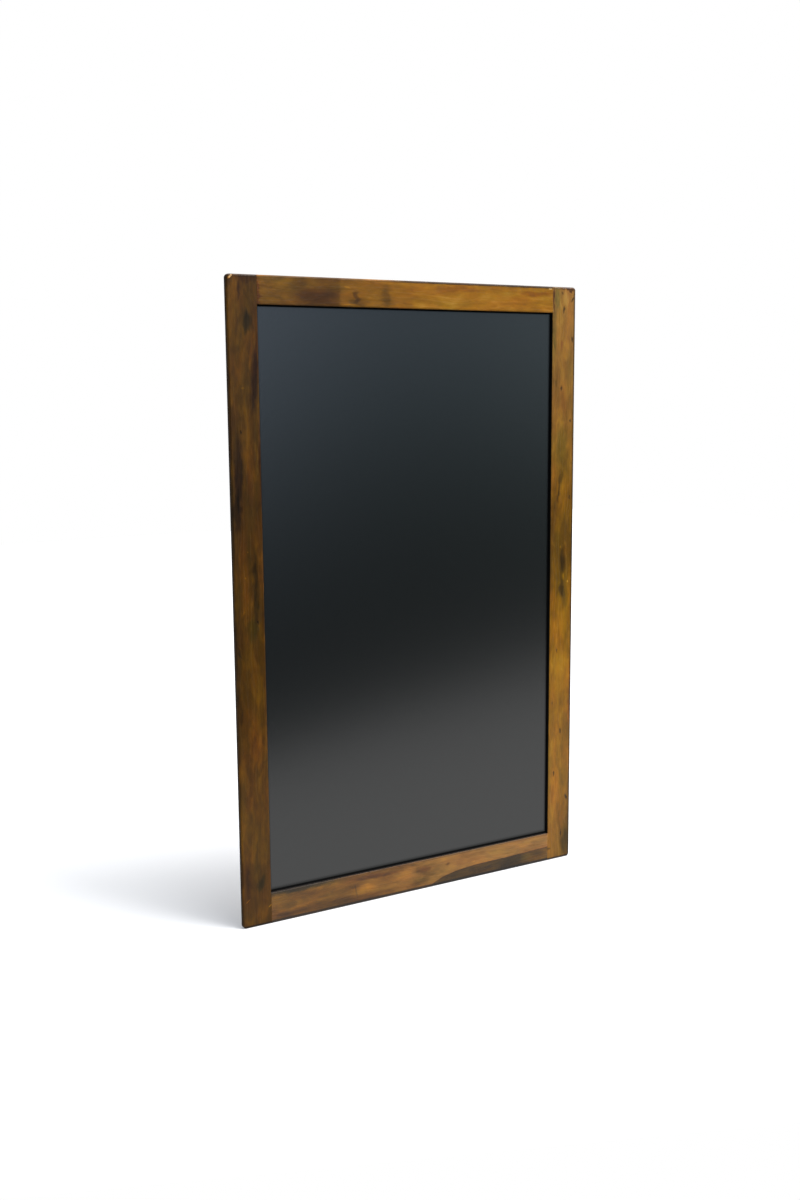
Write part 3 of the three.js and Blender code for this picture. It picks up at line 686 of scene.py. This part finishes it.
def build_frame():
    height = TOP - BOTTOM
    stile_width = JOINT_LEFT - LEFT
    rail_length = JOINT_RIGHT - JOINT_LEFT
    rail_widths = {"top_rail": TOP - OPENING_TOP, "bottom_rail": OPENING_BOTTOM - BOTTOM}
    places = {
        "left_stile": ((LEFT, FRONT, BOTTOM), (0, 0, 1), (1, 0, 0)),
        "right_stile": ((RIGHT, FRONT, BOTTOM), (0, 0, 1), (-1, 0, 0)),
        "top_rail": ((JOINT_LEFT, FRONT, TOP), (1, 0, 0), (0, 0, -1)),
        "bottom_rail": ((JOINT_LEFT, FRONT, BOTTOM), (1, 0, 0), (0, 0, 1)),
    }
    opening = (OPENING_BOTTOM - BOTTOM, OPENING_TOP - BOTTOM)
    rebate = (opening[0] - REBATE, opening[1] + REBATE)
    whole = (-1.0, rail_length + 1.0)  # a span with both its edges off the rail
    for seed, (node, (origin, along_axis, inward_axis)) in enumerate(places.items(), 1):
        stile = node not in rail_widths
        width = stile_width if stile else rail_widths[node]
        length = height if stile else rail_length
        spans = (rebate, opening) if stile else (whole, whole)
        rings = member_rings(width, length, stile, *spans, seed)
        member = add_member(node + "_wood", rings, origin, along_axis, inward_axis)
        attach(member, "board")
        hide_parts(node)
        stain = wood_material(node + "_stain", width / MM, length / MM, along_axis, LOOKS[node], seed)
        paint(member, stain)


# Panel: a satin black writing face, the fibreboard under it and the paper on the fibreboard's back
CHALK_BLACK = (0.0045, 0.0050, 0.0044, 1)
EDGE_BLACKS = (0.0015, 0.0015, 0.0015, 1), (0.0035, 0.0034, 0.0032, 1)


def chalk_material(name, ior):
    g = material_graph(name)
    peel = g.noise(g.place(), 330.0, 2.0, 0.6)
    return g.surface(CHALK_BLACK, 0.24, peel, strength=0.10, height=0.5, ior=ior)


# The matt black line round the writing face: a dark line at the sheet's edge, and painted shade beside the
# lip.
def edge_material():
    g = material_graph("black_edge")
    grit = g.noise(g.place(), 900.0, 3.0, 0.6)
    colour = g.mix(g.step(grit, 0.4, 0.7), *EDGE_BLACKS)
    return g.surface(colour, 0.8, grit, strength=0.3, height=0.1, gloss=0.08)


def fibreboard_material():
    g = material_graph("sawn_fibreboard")
    fibres = g.noise(g.place(), (900, 2600, 900), 4.0, 0.7)
    patches = g.noise(g.place(), 60.0, 2.0)
    colour = g.mottled(fibres, (84, 58, 36), (122, 88, 58), (150, 116, 82))
    colour = g.mix(g.step(patches, 0.35, 0.65, 0.0, 0.4), colour, linear(96, 68, 44))
    return g.surface(colour, 0.9, fibres, strength=0.6, height=0.3, gloss=0.2)


def paper_material():
    """Brown paper with fibres, flecks and a few shallow waves where the glue took it unevenly."""
    g = material_graph("brown_paper")
    place = g.place()
    pulp = g.noise(place, 700.0, 3.0, 0.7)
    long_fibres = g.noise(place, (260, 1, 1900), 3.0, 0.6, 1.2)
    cross_fibres = g.noise(place, (1700, 1, 240), 3.0, 0.6, 1.2)
    fibres = g.greatest(g.step(long_fibres, 0.60, 0.70), g.step(cross_fibres, 0.61, 0.71))
    clouds = g.noise(place, 14.0, 3.0, 0.6)
    waves = g.noise(place, (16, 1, 7), 2.0, 0.5, 0.8)
    colour = g.mottled(clouds, (164, 128, 88), (171, 135, 94), (177, 141, 100))
    colour = g.mix(g.step(pulp, 0.35, 0.75, 0.0, 0.45), colour, linear(144, 108, 71))
    colour = g.mix(g.times(fibres, 0.35), colour, linear(206, 174, 132))
    relief = g.total(g.times(fibres, 0.06), g.swing(pulp, 0.1), g.times(waves, 1.6))
    return g.surface(colour, 0.82, relief, strength=0.8, height=0.6, gloss=0.25)


def beech_material():
    g = material_graph("beech")
    streaks = g.noise(g.place(), (60, 1800, 1800), 3.0, 0.6)
    rays = g.step(g.noise(g.place(), (420, 3000, 3000), 1.0), 0.62, 0.70)
    colour = g.mottled(streaks, (176, 132, 88), (202, 162, 116), (216, 180, 136))
    colour = g.mix(g.times(rays, 0.5), colour, linear(150, 102, 62))
    return g.surface(colour, 0.6, streaks, strength=0.3, height=0.2, gloss=0.3)


def metal_material(name, bright, dull, roughness, spots):
    """Bright zinc: fine rubbing marks, dull clouds and a few darker spots where it has tarnished."""
    g = material_graph(name)
    clouds = g.noise(g.place(), 260.0, 3.0, 0.6)
    rubbing = g.noise(g.place(), (500, 500, 5200), 2.0)
    tarnish = g.step(g.noise(g.place(), 900.0, 2.0, 0.5), 0.62, 0.72, 0.0, spots)
    colour = g.mix(tarnish, g.ramp(clouds, [(0.3, dull), (0.65, bright)]), linear(104, 96, 84))
    rough = g.total(g.step(clouds, 0.3, 0.7, roughness + 0.08, roughness - 0.04), g.times(tarnish, 0.2))
    return g.surface(colour, rough, rubbing, strength=0.12, height=0.05, metallic=1.0)


def rubber_material():
    g = material_graph("black_rubber")
    skin = g.noise(g.place(), 1400.0, 3.0, 0.6)
    dust = g.step(g.noise(g.place(), 320.0, 3.0, 0.7), 0.5, 0.75, 0.0, 0.35)
    colour = g.mix(dust, linear(30, 30, 31), linear(84, 82, 78))
    return g.surface(colour, 0.68, skin, strength=0.35, height=0.1, gloss=0.35)


# Fittings. Each shape is made in millimetres about its own origin and moved to its place.
def place_mesh(mesh, origin, x_axis=(1, 0, 0), z_axis=(0, 0, 1)):
    turn = Matrix((x_axis, (0, 1, 0), z_axis)).transposed().to_4x4()
    mesh.transform(Matrix.Translation(origin) @ turn @ Matrix.Scale(MM, 4))


def arc(centre, radius, start, end, count):
    """Points of an arc in a plane, from start to end in degrees."""
    angles = [math.radians(start + (end - start) * k / count) for k in range(count + 1)]
    return [(centre[0] + radius * math.cos(a), centre[1] + radius * math.sin(a)) for a in angles]


def heading(before, after):
    return Vector((after[0] - before[0], after[1] - before[1])).normalized()


def strip_mesh(name, path, half_widths, thickness):
    """A bent metal strip: path runs in the YZ plane, the strip's width along X, edges slightly rounded."""
    rings = []
    for k, (y, z) in enumerate(path):
        before, after = path[max(k - 1, 0)], path[min(k + 1, len(path) - 1)]
        along = heading(before, after)
        w, t = half_widths[k], thickness / 2
        soft = min(EDGE_ROUND, w / 2, t / 2)
        outline = [(w, -t + soft), (w - soft, -t), (soft - w, -t), (-w, soft - t)]
        outline += [(-w, t - soft), (soft - w, t), (w - soft, t), (w, t - soft)]
        rings.append([(x, y - along.y * out, z + along.x * out) for x, out in outline])
    return loft(name, rings)


def lathe_mesh(name, profile, sides):
    """Turns (radius, height) points about the Y axis."""
    angles = [2 * math.pi * k / sides for k in range(sides)]
    rings = [[(r * math.cos(a), height, r * math.sin(a)) for a in angles] for r, height in profile]
    return loft(name, rings)


EDGE_ROUND = 0.18
AXIS = 0.02  # the radius at which a turned shape is closed

RING_WIRE = 1.1
RING_SIDE = 8.6
RING_DROP = 5.0
RING_CORNER = 2.2
RING_SIDES = 20
SIDE_MIDDLE = -3.6
BAR_STEPS = 12


def ring_mesh(name):
    """A D of round wire that hangs from its bar, in the XZ plane."""
    inner = RING_SIDE - RING_CORNER
    bar = [(inner * (1 - 2 * k / BAR_STEPS), 0.0) for k in range(1, BAR_STEPS)]
    path = arc((inner, -RING_CORNER), RING_CORNER, 90, 0, 8) + [(RING_SIDE, SIDE_MIDDLE)]
    path += arc((0, -RING_DROP), RING_SIDE, 0, -180, 56) + [(-RING_SIDE, SIDE_MIDDLE)]
    path += arc((-inner, -RING_CORNER), RING_CORNER, 180, 90, 8)
    path += [(-x, z) for x, z in bar]
    rings = []
    for k, (x, z) in enumerate(path):
        before, after = path[k - 1], path[(k + 1) % len(path)]
        along = heading(before, after)
        ring = []
        for side in range(RING_SIDES):
            angle = 2 * math.pi * side / RING_SIDES
            out = RING_WIRE * math.cos(angle)
            ring.append((x - along.y * out, RING_WIRE * math.sin(angle), z + along.x * out))
        rings.append(ring)
    return loft(name, rings, closed=True)


# The strap's sheet goes round the barrel to ROLL_END degrees, and the PINCH closes it against itself
STRAP_HALF = 5.0
STRAP_SHEET = 0.8
STRAP_DROP = 6.2
BARREL = 2.05
ROLL_END = -42
PINCH = [(0.55, -1.9), (-0.10, -2.5), (-0.60, -3.0)]
ROUND_END_ANGLES = (88, 80, 70, 58, 45, 30, 15, 0)


def strap_mesh(name):
    """A sheet folded round the ring's bar and doubled below it, with a round lower end."""
    heights = [-STRAP_DROP - STRAP_HALF * math.sin(math.radians(a)) for a in ROUND_END_ANGLES] + [-4.6]
    middle = BARREL - STRAP_SHEET / 2
    front = -BARREL + STRAP_SHEET * 1.5
    path = [(-middle, z) for z in heights] + [(-middle, -2.0)]
    path += arc((0, 0), middle, 180, ROLL_END, 26)
    path += PINCH + [(front + 0.05, -3.5), (front, -4.0)]
    path += [(front, z) for z in reversed(heights)]
    half_widths = []
    for y, z in path:
        low = min(z + STRAP_DROP, 0.0)
        half_widths.append(max(math.sqrt(max(STRAP_HALF**2 - low**2, 0.0)), 0.2))
    return strip_mesh(name, path, half_widths, STRAP_SHEET)


CLIP_HALF = 6.0
CLIP_SHEET = 1.2
CLIP_FOOT = 14.0
CLIP_TONGUE = 9.0
CLIP_STEP = 2.0
CLIP_RISER = 1.0
CLIP_BEND = 0.9
FOOT_ROUND = 2.4
TONGUE_ROUND = 2.2
FOOT_STATIONS = (CLIP_FOOT, 13.9, 13.6, 13.1, 12.4, 11.6, 6.0, 0.4)
TONGUE_STATIONS = (3.5, 6.8, 7.6, 8.2, 8.6, 8.9, CLIP_TONGUE)


def clip_mesh(name):
    """An offset clip: its foot lies on the wood along +Z and its tongue on the panel along -Z."""
    half = CLIP_SHEET / 2
    low = half - CLIP_STEP
    path = [(half, z) for z in FOOT_STATIONS]
    path += arc((half - CLIP_BEND, CLIP_BEND - CLIP_RISER), CLIP_BEND, 0, -90, 6)
    path += arc((low + CLIP_BEND, -CLIP_RISER - CLIP_BEND), CLIP_BEND, 90, 180, 6)
    path += [(low, -z) for z in TONGUE_STATIONS]
    half_widths = []
    for y, z in path:
        half_width = CLIP_HALF
        for radius, distance in ((FOOT_ROUND, CLIP_FOOT - z), (TONGUE_ROUND, CLIP_TONGUE + z)):
            inset = radius - min(distance, radius)
            half_width -= radius - math.sqrt(max(radius * radius - inset**2, 0.0))
        half_widths.append(half_width)
    return strip_mesh(name, path, half_widths, CLIP_SHEET)


# The recess is cut by two arms, given as half lengths along X and Z, that narrow from the top down
SHANK = 1.4
POINT = 2.2
HEAD = 2.9
HEAD_HEIGHT = 1.8
DOME = [(HEAD, 0.55), (2.84, 0.85), (2.70, 1.12), (2.45, 1.38), (2.10, 1.58), (1.65, 1.71), (1.1, 1.78)]
RECESS_ARMS = ((1.6, 0.4), (0.4, 1.6))
RECESS_LEVELS = ((HEAD_HEIGHT - 1.0, 0.62), (HEAD_HEIGHT - 0.5, 0.86), (HEAD_HEIGHT + 0.6, 1.12))


def screw_mesh(name, length):
    """A pan-head screw along Y with a tapered cross recess. Its head stands on y = 0."""
    profile = [(AXIS, -length), (SHANK, POINT - length), (SHANK, 0.0), (HEAD - 0.12, 0.0), (HEAD, 0.12)]
    profile += DOME + [(0.5, HEAD_HEIGHT), (AXIS, HEAD_HEIGHT)]
    body = add_object(name + "_blank", lathe_mesh(name + "_blank", profile, 48))
    arms = []
    for half_x, half_z in RECESS_ARMS:
        rings = []
        for height, taper in RECESS_LEVELS:
            x, z = half_x * taper, half_z * taper
            rings.append([(x, height, z), (-x, height, z), (-x, height, -z), (x, height, -z)])
        arms.append(add_object(name + "_arm", loft(name + "_arm", rings)))
    for obj in (body, *arms):
        tidy_mesh(obj.data)
    for arm in arms:
        cut = body.modifiers.new("recess", "BOOLEAN")
        cut.operation = "DIFFERENCE"
        cut.solver = "EXACT"
        cut.object = arm
    bpy.context.view_layer.update()
    cut_body = body.evaluated_get(bpy.context.evaluated_depsgraph_get())
    mesh = bpy.data.meshes.new_from_object(cut_body)
    for obj in (body, *arms):
        bpy.data.objects.remove(obj)
    mesh.name = name
    return mesh


def bumper_mesh(name):
    """A rubber button that stands on y = 0. Its outer face is flat."""
    profile = [(AXIS, 0.0), (5.85, 0.0), (6.0, 0.15), (6.0, 2.4)]
    profile += arc((4.25, 2.75), 1.75, 0, 90, 10)
    profile += [(AXIS, 4.5)]
    return lathe_mesh(name, profile, 56)


def add_fitting(node, mesh, origin, material, slot, body="board", **axes):
    place_mesh(mesh, origin, **axes)
    tidy_mesh(mesh, FITTING_SHARP)
    piece = add_object(mesh.name, mesh)
    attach(piece, body)
    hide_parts(node)
    paint(piece, material)


def centre_of(node):
    low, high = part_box(node)
    return (low + high) / 2


def add_screw(node, length, blanks, material):
    """Its name only serves to turn each screw its own way."""
    centre = centre_of(node)
    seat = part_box(node)[1].y - HEAD_HEIGHT * MM
    mesh = blanks[length].copy()
    mesh.name = node + "_turned"
    turn = math.radians(37 * (sum(map(ord, node)) % 9))
    across, up = (math.cos(turn), 0, math.sin(turn)), (-math.sin(turn), 0, math.cos(turn))
    add_fitting(node, mesh, (centre.x, seat, centre.z), material, "screw_steel", x_axis=across, z_axis=up)


def build_fittings():
    zinc = metal_material("bright_zinc", linear(206, 208, 212), linear(168, 171, 176), 0.30, 0.5)
    screw_zinc = metal_material("screw_zinc", linear(200, 200, 200), linear(160, 160, 162), 0.34, 0.7)
    wire_zinc = metal_material("wire_zinc", linear(212, 213, 215), linear(178, 180, 184), 0.24, 0.4)
    rubber = rubber_material()
    blanks = {length: screw_mesh(f"screw_{length}", length) for length in (8, 9)}
    for side in ("left", "right"):
        node = f"hanger_strap_{side}"
        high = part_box(node)[1]
        axis = (centre_of(node).x, high.y - BARREL * MM, high.z - BARREL * MM)
        add_fitting(node, strap_mesh(node + "_sheet"), axis, zinc, "zinc_steel")
        node = f"hanging_ring_{side}"
        add_fitting(node, ring_mesh(node + "_wire"), axis, wire_zinc, "ring_steel", body=f"ring_{side}")
        add_screw(f"hanger_screw_{side}", 9, blanks, screw_zinc)
    walls = {
        "left": (Vector((-1, 0, 0)), JOINT_LEFT - REBATE),
        "right": (Vector((1, 0, 0)), JOINT_RIGHT + REBATE),
        "upper": (Vector((0, 0, 1)), OPENING_TOP + REBATE),
        "lower": (Vector((0, 0, -1)), OPENING_BOTTOM - REBATE),
    }
    clips = [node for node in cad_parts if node.startswith("clip_") and "screw" not in node]
    for node in clips:
        outward, wall = walls[node.split("_")[1]]
        centre = centre_of(node)
        origin = Vector((wall, BACK, centre.z)) if outward.x else Vector((centre.x, BACK, wall))
        across = Vector((0, 1, 0)).cross(outward)
        mesh = clip_mesh(node + "_strip")
        add_fitting(node, mesh, origin, zinc, "zinc_steel", x_axis=across, z_axis=outward)
        add_screw(node.replace("clip_", "clip_screw_"), 8, blanks, screw_zinc)
    for node in [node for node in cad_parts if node.startswith("bumper_")]:
        centre = centre_of(node)
        add_fitting(node, bumper_mesh(node + "_button"), (centre.x, BACK, centre.z), rubber, "rubber")


# Towards the frame's lip the writing face loses its gloss in bands, the last of them matt: painted shade
# where the lip shuts the reflection off, with a dark line at the sheet's edge. For each side: how far from
# the opening's edge the matt line ends, and where the full gloss starts.
MATT_LINE = {"left": 1.5 * MM, "right": 2.5 * MM, "top": 2.0 * MM, "bottom": 3.2 * MM}
FULL_GLOSS = {"left": 3.0 * MM, "right": 5.5 * MM, "top": 3.0 * MM, "bottom": 7.0 * MM}
GLOSS_IOR = (1.705, 1.62, 1.52, 1.41)


def gloss_fields():
    """The rectangles (left, right, bottom, top) that hold each gloss and all glosses above it."""
    fields = []
    for share in np.linspace(0, 1, len(GLOSS_IOR)):
        reach = {side: FULL_GLOSS[side] + (MATT_LINE[side] - FULL_GLOSS[side]) * share for side in MATT_LINE}
        across = (JOINT_LEFT + reach["left"], JOINT_RIGHT - reach["right"])
        fields.append((*across, OPENING_BOTTOM + reach["bottom"], OPENING_TOP - reach["top"]))
    return fields


def build_writing_face():
    """The laminate sheet: its glossy field, and the duller bands of painted shade round it."""
    low, high = PANEL_LOW, PANEL_HIGH
    fields = gloss_fields()
    xs = sorted([low.x, high.x] + [x for field in fields for x in field[:2]])
    zs = sorted([low.z, high.z] + [z for field in fields for z in field[2:]])
    back = [(high.y, high.z), (high.y, low.z)]
    mesh = loft("laminate_sheet", [[(x, low.y, z) for z in zs] + [(x, y, z) for y, z in back] for x in xs])
    tidy_mesh(mesh)
    sheet = add_object("laminate_sheet", mesh)
    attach(sheet, "board")
    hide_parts("chalk_surface")
    for step, ior in enumerate(GLOSS_IOR):
        mesh.materials.append(chalk_material(f"chalk_laminate_{step}", ior))
    mesh.materials.append(edge_material())
    for face in mesh.polygons:
        x, _, z = face.center
        within = [x0 < x < x1 and z0 < z < z1 for x0, x1, z0, z1 in fields]
        face.material_index = len(fields) - sum(within) if face.normal.y < -0.5 else len(fields)


def finish_panel():
    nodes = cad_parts
    paint(nodes["panel_core"], fibreboard_material())
    paint(nodes["panel_backing"], paper_material())
    beech = beech_material()
    for name, obj in nodes.items():
        if name.startswith("dowel_"):
            paint(obj, beech)


# Floor: pale paper under the board. Its front edge is not far off and shows in the writing face.
FLOOR_FRONT_LEFT = (-3.0, FRONT + 0.45)
FLOOR_FRONT_RIGHT = (3.0, FRONT - 1.95)
FLOOR_BACK = 5.0
BOARD_LINE = (-0.1, 0.1)


def add_floor():
    """White to the camera, with the board's shadow, and in the writing face. Duller to the wood."""
    corners = [FLOOR_FRONT_LEFT, FLOOR_FRONT_RIGHT, (FLOOR_BACK, FLOOR_BACK), (-FLOOR_BACK, FLOOR_BACK)]
    mesh = bpy.data.meshes.new("floor")
    mesh.from_pydata([(x, y, BOTTOM) for x, y in corners], [], [(0, 1, 2, 3)])
    floor = add_object("floor", mesh)
    g = material_graph("pale_floor")
    rays = g.add("LightPath").outputs
    lit = g.add("BsdfDiffuse", {"Color": grey(0.7)})
    glow = g.add("Emission", {"Color": grey(0.20), "Strength": 1.0})
    shown = g.add("AddShader", {0: lit, 1: glow})
    bounced = g.add("BsdfDiffuse", {"Color": grey(0.36)})
    mirrored = g.add("Emission", {"Color": grey(1.0), "Strength": 1.0})
    ahead = g.step(g.add("SeparateXYZ", {0: g.place()}).outputs[1], *BOARD_LINE, 1.0, 0.0)
    bright = g.times(rays["Is Glossy Ray"], ahead)
    other = g.add("MixShader", {0: bright, 1: bounced, 2: mirrored})
    seen = g.add("MixShader", {0: rays["Is Camera Ray"], 1: other, 2: shown})
    paint(floor, g.finish(seen))


# The room in front of the board, over ROOM_HEIGHTS. Heights are sines of the angle above the horizon.
ROOM_HEIGHTS = (-0.2, 0.1)
ROOM = [
    (0.00, (0.00, 0.00, 0.00, 1)),
    (0.33, (0.00, 0.01, 0.00, 1)),
    (0.45, (0.01, 0.03, 0.00, 1)),
    (0.55, (0.035, 0.085, 0.07, 1)),
    (0.67, (0.12, 0.215, 0.25, 1)),
    (0.84, (0.22, 0.33, 0.44, 1)),
    (1.00, (0.28, 0.40, 0.54, 1)),
]

# Higher up it goes over to the ceiling
CEILING_HEIGHTS = (0.14, 0.5)
CEILING = (0.52, 0.54, 0.58, 1)

# Two brighter places that show in the writing face's upper corners: direction, then the cosines of the angles
# from it at which their edge and their full brightness lie, and the colour
WINDOWS = [
    ((0.205, -0.966, 0.160), 0.948, 0.980, (1.02, 1.24, 1.55, 1)),
    ((0.703, -0.703, 0.105), 0.974, 0.998, (0.77, 0.95, 1.04, 1)),
]

# The dark place behind the board that shows in its left side, in the same terms, and how dark it is
DARK_CORNER = (-0.52, 0.85, 0.0)
DARK_EDGE, DARK_CORE = 0.92, 0.98
DARK_STRENGTH = 0.85
DARK = (0.01, 0.01, 0.01, 1)


def set_world():
    """White to the camera. Light and reflections come from a room, dark low down and bluish higher up."""
    world = bpy.data.worlds.new("studio")
    bpy.context.scene.world = world
    g = Graph(world)
    rays = g.add("LightPath").outputs
    direction = g.add("TexCoord").outputs["Generated"]
    height = g.add("SeparateXYZ", {0: direction}).outputs[2]
    low, high = ROOM_HEIGHTS
    share = g.add("MapRange", {"Value": height, "From Min": low, "From Max": high}).outputs[0]
    colour = g.mix(g.step(height, *CEILING_HEIGHTS), g.ramp(share, ROOM), CEILING)
    for towards, edge, core, glow in WINDOWS:
        colour = g.mix(g.step(g.dot(direction, towards), edge, core), colour, glow)
    corner = g.step(g.dot(direction, DARK_CORNER), DARK_EDGE, DARK_CORE, 0.0, DARK_STRENGTH)
    colour = g.mix(g.times(corner, rays["Is Glossy Ray"]), colour, DARK)
    room = g.add("Background", {"Color": colour, "Strength": 1.0})
    white = g.add("Background", {"Color": grey(1.0), "Strength": 1.0})
    shown = g.add("MixShader", {0: rays["Is Camera Ray"], 1: room, 2: white})
    g.add("OutputWorld", {"Surface": shown})


# Both lights are broad suns from the front right. The azimuth is measured from -Y towards +X.
LIGHT_AZIMUTH = 46
KEY = {"height": 42, "softness": 36, "strength": 3.0}
OVERHEAD = {"height": 74, "softness": 26, "strength": 1.9}


def add_light(name, height, softness, strength):
    data = bpy.data.lights.new(name, "SUN")
    data.energy = strength
    data.angle = math.radians(softness)
    light = add_object(name, data)
    azimuth, height = math.radians(LIGHT_AZIMUTH), math.radians(height)
    flat = math.cos(height)
    towards = Vector((math.sin(azimuth) * flat, -math.cos(azimuth) * flat, math.sin(height)))
    light.rotation_euler = towards.to_track_quat("Z", "Y").to_euler()


add_camera()
build_frame()
build_writing_face()
finish_panel()
build_fittings()
add_floor()
set_world()
add_light("key", **KEY)
add_light("overhead", **OVERHEAD)
bpy.context.scene.view_settings.view_transform = "Standard"
